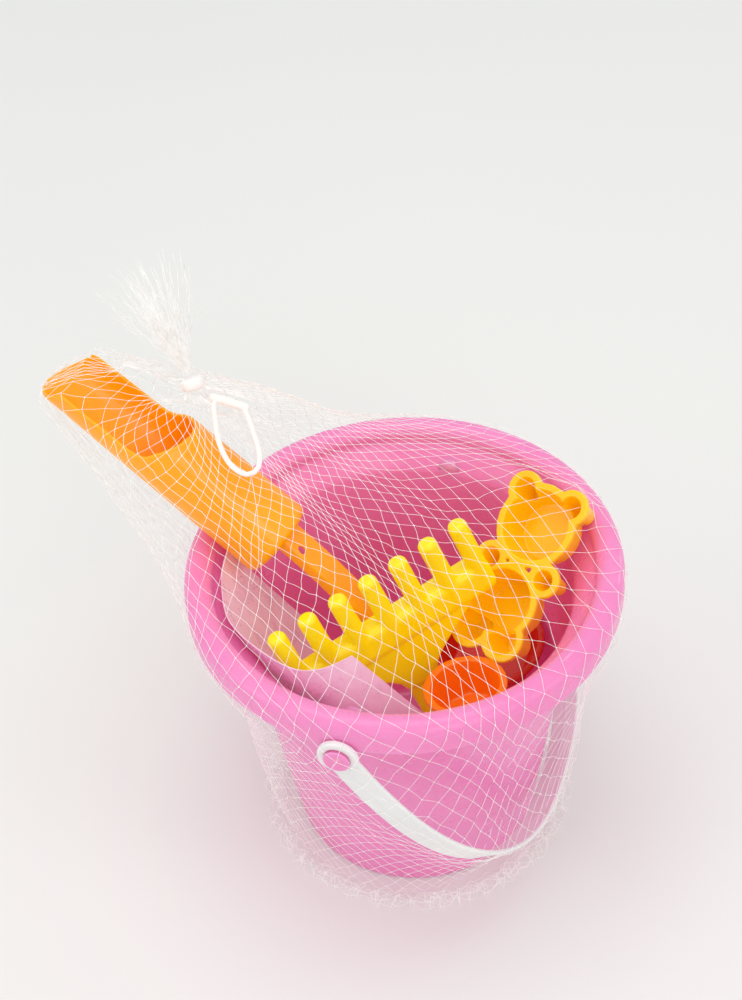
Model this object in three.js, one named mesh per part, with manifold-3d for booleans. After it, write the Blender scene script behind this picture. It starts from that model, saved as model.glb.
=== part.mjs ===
// A sand bucket set for the beach: a pink bucket with a swinging strap bail, a scoop, a rake,
// three sand moulds and an insert card, all held in a net bag that is closed by a clip.
// Millimetres, +Z up. The origin is the centre of the bucket's flat base.

import * as THREE from "three";
import { ParametricGeometry } from "three/addons/geometries/ParametricGeometry.js";
import { ConvexGeometry } from "three/addons/geometries/ConvexGeometry.js";
import { mergeVertices } from "three/addons/utils/BufferGeometryUtils.js";
import Module from "manifold-3d";

const wasm = await Module();
wasm.setup();

// bucket
const BUCKET_HEIGHT = 160;
const BASE_RADIUS = 58.5;
const WALL = 1.6;
const FLOOR = 2.2;
const WALL_TOP_Z = 143;
const WALL_TOP_RADIUS = 76.4;
const RIM_INNER_RADIUS = 84.4;
const RIM_OUTER_RADIUS = 97;
const SKIRT_Z = 145.3;
const BUCKET_SEGMENTS = 64;

// pivots of the bail
const PIVOT_ANGLE = THREE.MathUtils.degToRad(-110);
const PIVOT_Z = 143;
const BOSS_RADIUS = 5;
const BOSS_END = 101.4;
const CAP_RADIUS = 5.9;
const CAP_LENGTH = 1;

// bail
const BAIL_HALF_SPAN = 99;
const BAIL_REACH = 131.5;
const BAIL_SQUARENESS = 0.82;
const BAIL_DROP = THREE.MathUtils.degToRad(58);
const STRAP_WIDTH = 14.4;
const STRAP_THICKNESS = 2.2;
const EYE_RADIUS = 8.8;
const EYE_HOLE_RADIUS = 5.5;

// scoop
const SCOOP_LENGTH = 124;
const HOOD_LENGTH = 70;
const HOOD_LEAN = 7;
const SCOOP_REAR_RADIUS = 18.4;
const SCOOP_FRONT_RADIUS = 16.8;
const SCOOP_WALL = 1.7;
const LIP_Z = 1.2;
const TIP_ROUNDING = 13;
const SCOOP_HANDLE_LENGTH = 104;
const SCOOP_HANDLE_WIDTH = 15;
const SCOOP_HANDLE_HEIGHT = 7;
const SCOOP_HANDLE_DROOP = THREE.MathUtils.degToRad(12);

// rake
const TINES = 7;
const TINE_PITCH = 15.2;
const TINE_RADIUS = 4.5;
const TINE_LENGTH = 24;
const RAKE_HEAD_HEIGHT = 16;
const RAKE_HEAD_DEPTH = 13;
const RAKE_BACK = 2.6;
const RAKE_BEND = -0.0007;
const RAKE_WEB_HEIGHT = 24;
const RAKE_HANDLE_LENGTH = 84;
const RAKE_HANDLE_WIDTH = 15;

// figure mould
const MOULD_DEPTH = 18;
const MOULD_WALL = 1.7;
const MOULD_DRAFT = 3;
const MOULD_LIP_WIDTH = 1.4;
const MOULD_LIP_HEIGHT = 3;

// round moulds
const RED_RADIUS = 26;
const RED_DEPTH = 18;
const ORANGE_RADIUS = 17;
const ORANGE_DEPTH = 18;
const FLUTES = 8;

// insert card
const CARD_THICKNESS = 0.5;
const CARD_LENGTH = 84;

// net bag
const NET_THICKNESS = 1.2;
const NET_GAP = 2.7;
const NET_MOUTH_RADIUS = 7;

const COLOURS = {
  bucket_pink: { color: 0xf28cc0, roughness: 0.28 },
  bail_white: { color: 0xf3f1f0, roughness: 0.4 },
  scoop_orange: { color: 0xff9a05, roughness: 0.3 },
  toy_yellow: { color: 0xffe40a, roughness: 0.3 },
  mould_red: { color: 0xd93a26, roughness: 0.32 },
  mould_orange: { color: 0xf58416, roughness: 0.32 },
  card_lilac: { color: 0xe3d3e2, roughness: 0.45 },
  net_white: { color: 0xf4f2ee, roughness: 0.5 },
  clip_white: { color: 0xf6efe9, roughness: 0.4 },
};

function material(slot) {
  return new THREE.MeshStandardMaterial({ ...COLOURS[slot], metalness: 0, name: slot });
}

// ---- solids -------------------------------------------------------------------------------

/** A closed three.js geometry as a manifold solid with its faces pointing out. */
function solid(geometry) {
  const bare = geometry.index ? geometry.toNonIndexed() : geometry.clone();
  for (const name of Object.keys(bare.attributes)) {
    if (name !== "position") bare.deleteAttribute(name);
  }
  const merged = mergeVertices(bare, 1e-4);
  const index = [...merged.index.array];
  const points = merged.attributes.position.array;
  const kept = [];
  for (let i = 0; i < index.length; i += 3) {
    const [a, b, c] = index.slice(i, i + 3);
    if (a !== b && b !== c && c !== a) kept.push(a, b, c);
  }
  if (signedVolume(points, kept) < 0) kept.reverse();
  return new wasm.Manifold(
    new wasm.Mesh({
      numProp: 3,
      vertProperties: new Float32Array(points),
      triVerts: new Uint32Array(kept),
    }),
  );
}

function signedVolume(points, index) {
  const [a, b, c] = [new THREE.Vector3(), new THREE.Vector3(), new THREE.Vector3()];
  let volume = 0;
  for (let i = 0; i < index.length; i += 3) {
    a.fromArray(points, 3 * index[i]);
    b.fromArray(points, 3 * index[i + 1]);
    c.fromArray(points, 3 * index[i + 2]);
    volume += a.dot(b.cross(c));
  }
  return volume;
}

/** A manifold solid as a three.js geometry. */
function geometryOf(shape) {
  const mesh = shape.getMesh();
  const geometry = new THREE.BufferGeometry();
  const positions = new Float32Array(mesh.numVert * 3);
  for (let i = 0; i < mesh.numVert; i++) {
    for (let k = 0; k < 3; k++) positions[3 * i + k] = mesh.vertProperties[i * mesh.numProp + k];
  }
  geometry.setAttribute("position", new THREE.BufferAttribute(positions, 3));
  geometry.setIndex(new THREE.BufferAttribute(new Uint32Array(mesh.triVerts), 1));
  geometry.computeVertexNormals();
  return geometry;
}

function join(shapes) {
  return shapes.reduce((whole, shape) => whole.add(shape));
}

/** A revolved profile of [radius, z] pairs, about Z. */
function turned(profile, segments = 32) {
  const points = profile.map(([radius, z]) => new THREE.Vector2(radius, z));
  return new THREE.LatheGeometry(points, segments).rotateX(Math.PI / 2);
}

/** A cylinder along Z from z0 to z1, with its middle at (x, y). */
function rod(radius, z0, z1, x = 0, y = 0, segments = 32) {
  const cylinder = new THREE.CylinderGeometry(radius, radius, z1 - z0, segments);
  return cylinder.rotateX(Math.PI / 2).translate(x, y, (z0 + z1) / 2);
}

function block(x0, x1, y0, y1, z0, z1) {
  const box = new THREE.BoxGeometry(x1 - x0, y1 - y0, z1 - z0);
  return box.translate((x0 + x1) / 2, (y0 + y1) / 2, (z0 + z1) / 2);
}

/** A closed skin over rings of points; ring(t) gives the points of the ring at t from 0 to 1. */
function skinned(ring, stations, around) {
  const rings = stations.map((t) => ring(t));
  const middles = rings.map((points) => {
    const middle = new THREE.Vector3();
    points.forEach((point) => middle.addScaledVector(point, 1 / points.length));
    return middle;
  });
  const last = rings.length - 1;
  const stacks = rings.length + 1;
  const surface = (u, v, target) => {
    const row = Math.round(v * stacks) - 1;
    if (row < 0) return target.copy(middles[0]);
    if (row > last) return target.copy(middles[last]);
    return target.copy(rings[row][Math.round(u * around) % around]);
  };
  return new ParametricGeometry(surface, around, stacks);
}

function steps(from, to, count) {
  return Array.from({ length: count + 1 }, (_, i) => from + ((to - from) * i) / count);
}

/** The outline of a rectangle with round corners, as [x, y] pairs, corner by corner. */
function roundedRectangle(width, height, radius, perCorner = 3) {
  const outline = [];
  const corners = [[1, 1], [-1, 1], [-1, -1], [1, -1]];
  corners.forEach(([sx, sy], k) => {
    const x = sx * (width / 2 - radius);
    const y = sy * (height / 2 - radius);
    steps(0, Math.PI / 2, perCorner).forEach((turn) => {
      const angle = (k * Math.PI) / 2 + turn;
      outline.push([x + radius * Math.cos(angle), y + radius * Math.sin(angle)]);
    });
  });
  return outline;
}

function mesh(name, slot, shape) {
  const made = new THREE.Mesh(geometryOf(shape), material(slot));
  made.name = name;
  return made;
}

/** A group whose X and Z axes point along the given directions. */
function placed(origin, xAxis, zHint) {
  const x = new THREE.Vector3(...xAxis).normalize();
  const y = new THREE.Vector3(...zHint).cross(x).normalize();
  const z = x.clone().cross(y);
  const group = new THREE.Group();
  group.setRotationFromMatrix(new THREE.Matrix4().makeBasis(x, y, z));
  group.position.set(...origin);
  return group;
}

// ---- bucket -------------------------------------------------------------------------------

/** Half an ellipse over the lip, from the inner edge to the outer edge. */
function archOverLip(inner, outer, springZ, topZ, count) {
  const middle = (inner + outer) / 2;
  const half = (outer - inner) / 2;
  return steps(Math.PI, 0, count).map((angle) => [
    middle + half * Math.cos(angle),
    springZ + (topZ - springZ) * Math.sin(angle),
  ]);
}

/** The inside of the bucket, from the lip's inner edge down to the middle of the floor. */
const BUCKET_INSIDE = [
  [RIM_INNER_RADIUS - 0.5, 152.6],
  [RIM_INNER_RADIUS - 2.6, 149.5],
  [RIM_INNER_RADIUS - 5.8, 146],
  [RIM_INNER_RADIUS - 8.4, 142.5],
  [WALL_TOP_RADIUS - WALL, WALL_TOP_Z - 3.5],
  [BASE_RADIUS - WALL + 0.3, FLOOR + 4],
  [BASE_RADIUS - WALL - 1.2, FLOOR + 1.2],
  [BASE_RADIUS - WALL - 4, FLOOR],
  [0, FLOOR],
];

function bucketProfile() {
  const springZ = 154;
  const outside = [
    [0, 0],
    [BASE_RADIUS - 3, 0],
    [BASE_RADIUS - 0.9, 0.9],
    [BASE_RADIUS, 3],
    [WALL_TOP_RADIUS, WALL_TOP_Z - 4],
    [RIM_INNER_RADIUS - 6.8, 141.6],
    [RIM_INNER_RADIUS - 4.2, 144.6],
    [RIM_INNER_RADIUS - 1.1, 148],
  ];
  const underLip = archOverLip(
    RIM_INNER_RADIUS + WALL, RIM_OUTER_RADIUS - WALL, springZ, BUCKET_HEIGHT - WALL, 6,
  );
  const skirt = [
    [RIM_OUTER_RADIUS - WALL, SKIRT_Z],
    [RIM_OUTER_RADIUS + 0.2, SKIRT_Z],
  ];
  const overLip = archOverLip(RIM_INNER_RADIUS, RIM_OUTER_RADIUS, springZ, BUCKET_HEIGHT, 8);
  return [...outside, ...underLip, ...skirt, ...overLip.reverse(), ...BUCKET_INSIDE];
}

/** One pivot boss, along +X, with a slightly wider cap that keeps the bail's eye on. */
function boss() {
  const capStart = BOSS_END;
  const profile = [
    [0, WALL_TOP_RADIUS - WALL],
    [BOSS_RADIUS, WALL_TOP_RADIUS - WALL],
    [BOSS_RADIUS, capStart],
    [CAP_RADIUS, capStart],
    [CAP_RADIUS - 0.3, capStart + CAP_LENGTH * 0.7],
    [CAP_RADIUS - 1.6, capStart + CAP_LENGTH],
    [0, capStart + CAP_LENGTH],
  ];
  return turned(profile, 20).rotateY(Math.PI / 2);
}

function bucket() {
  const shell = solid(turned(bucketProfile(), BUCKET_SEGMENTS));
  const room = solid(turned([[0, 152.6], ...BUCKET_INSIDE], BUCKET_SEGMENTS));
  const bosses = [0, Math.PI].map((turn) =>
    solid(boss().rotateZ(PIVOT_ANGLE + turn).translate(0, 0, PIVOT_Z)).subtract(room),
  );
  return mesh("bucket", "bucket_pink", join([shell, ...bosses]));
}

// ---- bail ---------------------------------------------------------------------------------

/** The bail in its own frame: X to the near pivot, Y to the far end of the hoop, Z its width. */
function bailStrap() {
  const power = (value) => Math.sign(value) * Math.abs(value) ** BAIL_SQUARENESS;
  const centre = (t) =>
    new THREE.Vector3(
      BAIL_HALF_SPAN * power(Math.cos(t * Math.PI)),
      BAIL_REACH * power(Math.sin(t * Math.PI)),
      0,
    );
  const outline = roundedRectangle(STRAP_THICKNESS, STRAP_WIDTH, 0.7, 2);
  const ring = (t) => {
    const along = centre(Math.min(t + 0.002, 1)).sub(centre(Math.max(t - 0.002, 0))).normalize();
    if (t < 0.001) along.set(0, 1, 0);
    if (t > 0.999) along.set(0, -1, 0);
    const outward = new THREE.Vector3(along.y, -along.x, 0);
    const middle = centre(t);
    return outline.map(([x, z]) =>
      middle.clone().addScaledVector(outward, x).add(new THREE.Vector3(0, 0, z)),
    );
  };
  const ends = [0, 0.004, 0.012, 0.024];
  const stations = [...ends, ...steps(0.045, 0.955, 22), ...ends.map((t) => 1 - t).reverse()];
  return solid(skinned(ring, stations, outline.length));
}

function bail() {
  const halves = [1, -1];
  const across = (geometry, side) =>
    solid(geometry.rotateY(Math.PI / 2).translate(side * BAIL_HALF_SPAN, 0, 0));
  const half = STRAP_THICKNESS / 2;
  const eyes = halves.map((side) => across(rod(EYE_RADIUS, -half, half, 0, 0, 40), side));
  const holes = halves.map((side) => across(rod(EYE_HOLE_RADIUS, -3, 3, 0, 0, 32), side));
  const hoop = join([bailStrap(), ...eyes]).subtract(join(holes));
  const near = [Math.cos(PIVOT_ANGLE), Math.sin(PIVOT_ANGLE), 0];
  const side = new THREE.Vector3(-Math.sin(PIVOT_ANGLE), Math.cos(PIVOT_ANGLE), 0);
  const reach = side.multiplyScalar(Math.cos(BAIL_DROP)).add(
    new THREE.Vector3(0, 0, -Math.sin(BAIL_DROP)),
  );
  const width = new THREE.Vector3(...near).cross(reach);
  const group = placed([0, 0, PIVOT_Z], near, width.toArray());
  group.add(mesh("bail", "bail_white", hoop));
  return group;
}

// ---- scoop --------------------------------------------------------------------------------

/** The scoop's frame: X from the rear wall to the tip, Z out of its open side. */
function scoopRadius(x) {
  const share = THREE.MathUtils.clamp(x / SCOOP_LENGTH, 0, 1);
  return SCOOP_REAR_RADIUS + (SCOOP_FRONT_RADIUS - SCOOP_REAR_RADIUS) * share ** 1.3;
}

function scoopBarrel(inset, from, to) {
  const corner = 3;
  const sides = 28;
  const xs = [from, from + corner * 0.3, from + corner, ...steps(from + 10, to, 8)];
  const ring = (x) => {
    const near = THREE.MathUtils.clamp((x - from) / corner, 0, 1);
    const rounding = corner * (1 - Math.sqrt(1 - (1 - near) ** 2));
    const radius = scoopRadius(x) - inset - rounding;
    return steps(0, 2 * Math.PI, sides)
      .slice(0, sides)
      .map((angle) => new THREE.Vector3(x, radius * Math.cos(angle), radius * Math.sin(angle)));
  };
  return solid(skinned(ring, xs, sides));
}

/** What is cut away above the lip in front of the hood, as a shape in X and Z. */
function scoopOpening() {
  const top = SCOOP_REAR_RADIUS + 5;
  const shape = new THREE.Shape();
  shape.moveTo(SCOOP_LENGTH + 5, LIP_Z - 1.5);
  shape.lineTo(HOOD_LENGTH + 9, LIP_Z);
  shape.quadraticCurveTo(HOOD_LENGTH + 1, LIP_Z, HOOD_LENGTH - 1, LIP_Z + 6);
  shape.quadraticCurveTo(HOOD_LENGTH - HOOD_LEAN + 1, 14, HOOD_LENGTH - HOOD_LEAN - 6, top);
  shape.lineTo(SCOOP_LENGTH + 5, top);
  shape.closePath();
  const depth = 60;
  const cut = new THREE.ExtrudeGeometry(shape, { depth, bevelEnabled: false, curveSegments: 6 });
  return solid(cut.translate(0, 0, -depth / 2).rotateX(Math.PI / 2));
}

/** The rounded plan of the scoop, seen along Z. */
function scoopPlan() {
  const wide = SCOOP_REAR_RADIUS + 4;
  const start = SCOOP_LENGTH - TIP_ROUNDING;
  const shape = new THREE.Shape();
  shape.moveTo(-5, -wide);
  shape.lineTo(start, -wide);
  shape.lineTo(start, -SCOOP_FRONT_RADIUS - 0.2);
  shape.absellipse(start, 0, TIP_ROUNDING, SCOOP_FRONT_RADIUS + 0.2, -Math.PI / 2, Math.PI / 2);
  shape.lineTo(start, wide);
  shape.lineTo(-5, wide);
  shape.closePath();
  const depth = 60;
  const plan = new THREE.ExtrudeGeometry(shape, { depth, bevelEnabled: false, curveSegments: 10 });
  return solid(plan.translate(0, 0, -depth / 2));
}

/** An arched channel, open underneath, that runs back and down from the rear wall. */
function scoopHandle() {
  const topZ = SCOOP_REAR_RADIUS * 0.5;
  const end = -SCOOP_HANDLE_LENGTH;
  const bar = (width, height, from, to, rise) => {
    const outline = roundedRectangle(width, height, 1.6, 2);
    const ring = (s) => {
      const droop = SCOOP_HANDLE_DROOP * (s - 2) / (end - 2);
      const z = topZ - height / 2 + rise + (s - 2) * Math.sin(droop) * 0.8;
      return outline.map(([y, up]) => new THREE.Vector3(s, y, z + up));
    };
    return solid(skinned(ring, steps(from, to, 8), outline.length));
  };
  const outer = bar(SCOOP_HANDLE_WIDTH, SCOOP_HANDLE_HEIGHT, 1, end, 0);
  const inner = bar(
    SCOOP_HANDLE_WIDTH - 3.6, SCOOP_HANDLE_HEIGHT, -5, end + 5, -1.9,
  );
  return outer.subtract(inner);
}

const SCOOP_ORIGIN = [-53.9, 18.1, 158.6];
const SCOOP_TO_TIP = [-0.698, 0.357, 0.621];
const SCOOP_OPEN_SIDE = [0.6, -0.182, 0.779];

function scoop() {
  const barrel = scoopBarrel(0, 0, SCOOP_LENGTH + 2);
  const hollow = scoopBarrel(SCOOP_WALL, SCOOP_WALL, SCOOP_LENGTH + 4);
  const body = barrel.subtract(hollow).subtract(scoopOpening()).intersect(scoopPlan());
  const hole = solid(rod(2, -30, 30, -9, 3.5, 16));
  const whole = body.add(scoopHandle()).subtract(hole);
  const group = placed(SCOOP_ORIGIN, SCOOP_TO_TIP, SCOOP_OPEN_SIDE);
  group.add(mesh("scoop", "scoop_orange", whole));
  return group;
}

// ---- rake ---------------------------------------------------------------------------------

/** The rake's frame: X along the row of tines, Z up the tines, Y its back. */
function tine(x) {
  const profile = [
    [0, -12],
    [TINE_RADIUS, -12],
    [TINE_RADIUS, TINE_LENGTH - 2],
    [TINE_RADIUS - 0.7, TINE_LENGTH - 0.6],
    [TINE_RADIUS - 2, TINE_LENGTH],
    [0, TINE_LENGTH],
  ];
  return solid(turned(profile, 20).translate(x, 0, 0));
}

function rakeHead() {
  const length = (TINES - 1) * TINE_PITCH + 2 * TINE_RADIUS + 0.6;
  const outline = roundedRectangle(RAKE_HEAD_DEPTH, RAKE_HEAD_HEIGHT, 3.6, 3);
  const half = length / 2;
  const ring = (x) => {
    const edge = THREE.MathUtils.clamp((half - Math.abs(x)) / 3.2, 0, 1);
    const scale = 0.66 + 0.34 * Math.sqrt(1 - (1 - edge) ** 2);
    return outline.map(([y, z]) =>
      new THREE.Vector3(x, y * scale + RAKE_BACK, z * scale - RAKE_HEAD_HEIGHT / 2),
    );
  };
  const stations = [-half, -half + 0.8, -half + 3.2, half - 3.2, half - 0.8, half];
  return solid(skinned(ring, stations, outline.length));
}

/** The web that narrows from the head to the handle. */
function rakeWeb() {
  const top = -RAKE_HEAD_HEIGHT + 6;
  const drop = RAKE_WEB_HEIGHT + 6;
  const ring = (t) => {
    const ease = t * t * (3 - 2 * t);
    const width = THREE.MathUtils.lerp(86, RAKE_HANDLE_WIDTH + 2, ease ** 0.8);
    const depth = THREE.MathUtils.lerp(RAKE_HEAD_DEPTH - 2.5, 11, t);
    return roundedRectangle(width, depth, 3, 2).map(([x, y]) =>
      new THREE.Vector3(x, y + RAKE_BACK, top - drop * t),
    );
  };
  return solid(skinned(ring, steps(0, 1, 7), 12));
}

/** The handle is a channel that is open at the back, bent a little towards the vertical. */
function rakeHandle() {
  const start = -RAKE_HEAD_HEIGHT - RAKE_WEB_HEIGHT + 2;
  const bar = (width, depth, back, from, to) => {
    const outline = roundedRectangle(width, depth, 1.8, 2);
    const ring = (s) =>
      outline.map(([x, y]) =>
        new THREE.Vector3(x, y + RAKE_BACK + back + RAKE_BEND * s * s, start - s),
      );
    return solid(skinned(ring, steps(from, to, 7), outline.length));
  };
  const outer = bar(RAKE_HANDLE_WIDTH, 9, 0, 0, RAKE_HANDLE_LENGTH);
  const inner = bar(RAKE_HANDLE_WIDTH - 3.8, 9, 2.2, 6, RAKE_HANDLE_LENGTH - 6);
  return outer.subtract(inner);
}

const RAKE_ORIGIN = [-8.9, -22, 146.6];
const RAKE_ROW = [0.888, 0.367, 0.279];
const RAKE_UP = [-0.32, 0.12, 0.94];

function rake() {
  const first = (-(TINES - 1) * TINE_PITCH) / 2;
  const tines = Array.from({ length: TINES }, (_, i) => tine(first + i * TINE_PITCH));
  const whole = join([rakeHead(), rakeWeb(), rakeHandle(), ...tines]);
  const group = placed(RAKE_ORIGIN, RAKE_ROW, RAKE_UP);
  group.add(mesh("rake", "toy_yellow", whole));
  return group;
}

// ---- moulds -------------------------------------------------------------------------------

/** Round lobes of a standing animal figure: [x, y, radius], head at +X. */
const FIGURE_LOBES = [
  [39, 0, 18],
  [52, 12.5, 7],
  [52, -12.5, 7],
  [2, 0, 16.5],
  [18, 14, 6.5],
  [18, -15, 6.5],
  [-13, 8.5, 9],
  [-13, -8.5, 9],
];

function figure(grow, rimZ, floorZ, draft) {
  const lobes = FIGURE_LOBES.map(([x, y, radius]) => {
    const height = rimZ - floorZ;
    const lobe = new THREE.CylinderGeometry(
      radius + grow, radius + grow - draft * (height / MOULD_DEPTH), height, 20,
    );
    return solid(lobe.rotateX(Math.PI / 2).translate(x, y, (rimZ + floorZ) / 2));
  });
  return join(lobes);
}

const MOULD_ORIGIN = [40.3, -13.2, 138.9];
const MOULD_HEAD_WAY = [0.49, 0.598, 0.639];
const MOULD_OPEN_WAY = [-0.49, -0.41, 0.76];

function figureMould() {
  const outside = figure(0, 0, -MOULD_DEPTH, MOULD_DRAFT);
  const lip = figure(MOULD_LIP_WIDTH, 0, -MOULD_LIP_HEIGHT, 0);
  const inside = figure(-MOULD_WALL, 1, -MOULD_DEPTH + MOULD_WALL, MOULD_DRAFT);
  const group = placed(MOULD_ORIGIN, MOULD_HEAD_WAY, MOULD_OPEN_WAY);
  group.add(mesh("figure_mould", "toy_yellow", join([outside, lip]).subtract(inside)));
  return group;
}

/** A round mould with a fluted wall, open towards +Z. */
function fluted(rimRadius, depth, wall) {
  const sides = FLUTES * 4;
  const shell = (inset, rimZ, floorZ) => {
    const ring = (t) => {
      const z = THREE.MathUtils.lerp(floorZ, rimZ, t);
      const radius = (rimRadius - inset) * THREE.MathUtils.lerp(0.74, 1, t);
      return steps(0, 2 * Math.PI, sides)
        .slice(0, sides)
        .map((angle) => {
          const wave = radius * (1 + 0.045 * Math.cos(FLUTES * angle) * (1 - t * t));
          return new THREE.Vector3(wave * Math.cos(angle), wave * Math.sin(angle), z);
        });
    };
    return solid(skinned(ring, [0, 0.5, 1], sides));
  };
  const lip = solid(rod(rimRadius + 1.6, -2.4, 0, 0, 0, sides));
  return shell(0, 0, -depth).add(lip).subtract(shell(wall, 0.5, -depth + wall));
}

const RED_ORIGIN = [37, 12, 88];
const RED_OPEN_WAY = [-0.3, -0.1, 0.95];
const ORANGE_ORIGIN = [22, -48, 128];
const ORANGE_OPEN_WAY = [-0.1, 0.12, 0.99];

function roundMoulds() {
  const red = placed(RED_ORIGIN, [1, 0, 0.12], RED_OPEN_WAY);
  red.add(mesh("red_mould", "mould_red", fluted(RED_RADIUS, RED_DEPTH, 1.6)));
  const orange = placed(ORANGE_ORIGIN, [1, 0, 0.13], ORANGE_OPEN_WAY);
  orange.add(mesh("orange_mould", "mould_orange", fluted(ORANGE_RADIUS, ORANGE_DEPTH, 1.6)));
  return [red, orange];
}

// ---- insert card --------------------------------------------------------------------------

/** The card's top edge, from the back to the free front corner, as it lies in the bucket. */
const CARD_TOP = [
  [-77.9, 20, 154], [-79.8, 8, 156], [-79.9, -9, 156], [-77.3, -24.4, 156.5],
  [-70.6, -36.3, 157], [-62.4, -45.7, 157], [-55, -52.6, 157], [-47.2, -57.2, 157], [-38.6, -57.4, 157],
  [-31.5, -54.8, 157], [-25, -51.4, 157],
];
const CARD_DOWN = [[0.53, -0.01, -0.85], [0.39, -0.07, -0.92], [0.58, -0.05, -0.8]];

function card() {
  const top = new THREE.CatmullRomCurve3(CARD_TOP.map((p) => new THREE.Vector3(...p)));
  const ways = new THREE.CatmullRomCurve3(CARD_DOWN.map((way) => new THREE.Vector3(...way)));
  const ring = (t) => {
    const point = top.getPoint(t);
    const down = ways.getPoint(t).normalize();
    const outward = top.getTangent(t).cross(down).normalize();
    const far = point.clone().addScaledVector(down, CARD_LENGTH);
    const half = CARD_THICKNESS / 2;
    return [
      point.clone().addScaledVector(outward, half),
      far.clone().addScaledVector(outward, half),
      far.clone().addScaledVector(outward, -half),
      point.clone().addScaledVector(outward, -half),
    ];
  };
  return mesh("insert_card", "card_lilac", solid(skinned(ring, steps(0, 1, 28), 4)));
}

// ---- net bag ------------------------------------------------------------------------------

const NECK = new THREE.Vector3(-84.4, 50.2, 224);
const NECK_WAY = new THREE.Vector3(-0.17, 0.4, 0.9).normalize();

function circle(radius, z, count) {
  return steps(0, 2 * Math.PI, count)
    .slice(0, count)
    .map((angle) => new THREE.Vector3(radius * Math.cos(angle), radius * Math.sin(angle), z));
}

/** A small ring across the neck, at a distance along it. */
function neckRing(radius, along) {
  const side = new THREE.Vector3(1, 0, 0).cross(NECK_WAY).normalize();
  const other = side.clone().cross(NECK_WAY);
  const middle = NECK.clone().addScaledVector(NECK_WAY, along);
  return circle(radius, 0, 10).map((p) =>
    middle.clone().addScaledVector(side, p.x).addScaledVector(other, p.y),
  );
}

/** The outermost points of a mesh in every direction of a coarse sphere. */
function outline(group, detail = 2) {
  group.updateMatrixWorld(true);
  const found = [];
  group.traverse((node) => {
    if (!node.isMesh) return;
    const points = node.geometry.clone().applyMatrix4(node.matrixWorld).attributes.position;
    const ways = new THREE.IcosahedronGeometry(1, detail).attributes.position;
    for (let i = 0; i < ways.count; i++) {
      const way = new THREE.Vector3().fromBufferAttribute(ways, i);
      const point = new THREE.Vector3();
      let best = -Infinity;
      let chosen = null;
      for (let k = 0; k < points.count; k++) {
        const reach = point.fromBufferAttribute(points, k).dot(way);
        if (reach > best) {
          best = reach;
          chosen = point.clone();
        }
      }
      found.push(chosen);
    }
  });
  return found;
}

/** The taut skin around points, at a distance from them. */
function wrapped(points, distance, extra) {
  const ways = new THREE.OctahedronGeometry(distance * 1.12, 1).attributes.position;
  const grown = [...extra];
  for (const point of points) {
    for (let i = 0; i < ways.count; i++) {
      grown.push(point.clone().add(new THREE.Vector3().fromBufferAttribute(ways, i)));
    }
  }
  const rounded = grown.map((p) => p.multiplyScalar(5).round().multiplyScalar(0.2));
  return solid(new ConvexGeometry(rounded));
}

function netBag(pieces) {
  const rim = circle(RIM_OUTER_RADIUS + 0.8, BUCKET_HEIGHT - 3, 40);
  const upper = [...rim, ...pieces.flatMap((piece) => outline(piece))];
  const lower = [...rim, ...circle(RIM_OUTER_RADIUS + 0.8, SKIRT_Z, 40), ...outline(pieces[0], 3)];
  const skin = (distance, footRadius, footZ, mouthRadius, mouthAlong) =>
    wrapped(upper, distance, neckRing(mouthRadius, mouthAlong)).add(
      wrapped(lower, distance, circle(footRadius, footZ, 36)),
    );
  const outer = skin(NET_GAP + NET_THICKNESS, 68, 0.4, NET_MOUTH_RADIUS - 2, -4);
  const inner = skin(NET_GAP, 66.8, -2, NET_MOUTH_RADIUS - 3.4, 0);
  const floor = solid(block(-200, 200, -200, 200, -20, 0.4));
  return mesh("net_bag", "net_white", outer.subtract(inner).subtract(floor));
}

/** The gathered ends of the net, a loose brush above the seal. */
function netTuft() {
  const profile = [[0, 0], [3, 0], [5, 6], [9, 24], [15, 46], [17, 58], [13, 62], [0, 63]];
  const group = new THREE.Group();
  group.position.copy(NECK).addScaledVector(NECK_WAY, 6.4);
  group.quaternion.setFromUnitVectors(new THREE.Vector3(0, 0, 1), NECK_WAY);
  group.add(mesh("net_tuft", "net_white", solid(turned(profile, 16))));
  return group;
}

/** A round-cornered seal clamped on the neck. */
function neckSeal() {
  const profile = [[0, -2.6], [3.6, -2.6], [4.8, -1.6], [5, 0], [4.8, 1.6], [3.6, 2.6], [0, 2.6]];
  const group = new THREE.Group();
  group.position.copy(NECK).addScaledVector(NECK_WAY, 2.6);
  group.quaternion.setFromUnitVectors(new THREE.Vector3(0, 0, 1), NECK_WAY);
  group.add(mesh("neck_seal", "clip_white", solid(turned(profile, 20))));
  return group;
}

/** The hang loop: a short bar with a teardrop of round plastic cord hanging from it. */
const LOOP_BAR = [[-77.5, 44, 224.4], [-60.4, 33.8, 224.4]];
const LOOP_PATH = [
  [-74.6, 42.3, 224.4], [-75, 27, 221], [-73, 16.5, 218], [-68.6, 7.6, 215.5],
  [-62.5, 3.6, 214], [-58.4, 5.4, 214.5], [-57, 11.5, 216.5], [-58.8, 21, 220],
  [-64, 36, 224.4],
];
const LOOP_CORD = 1.25;

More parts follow.
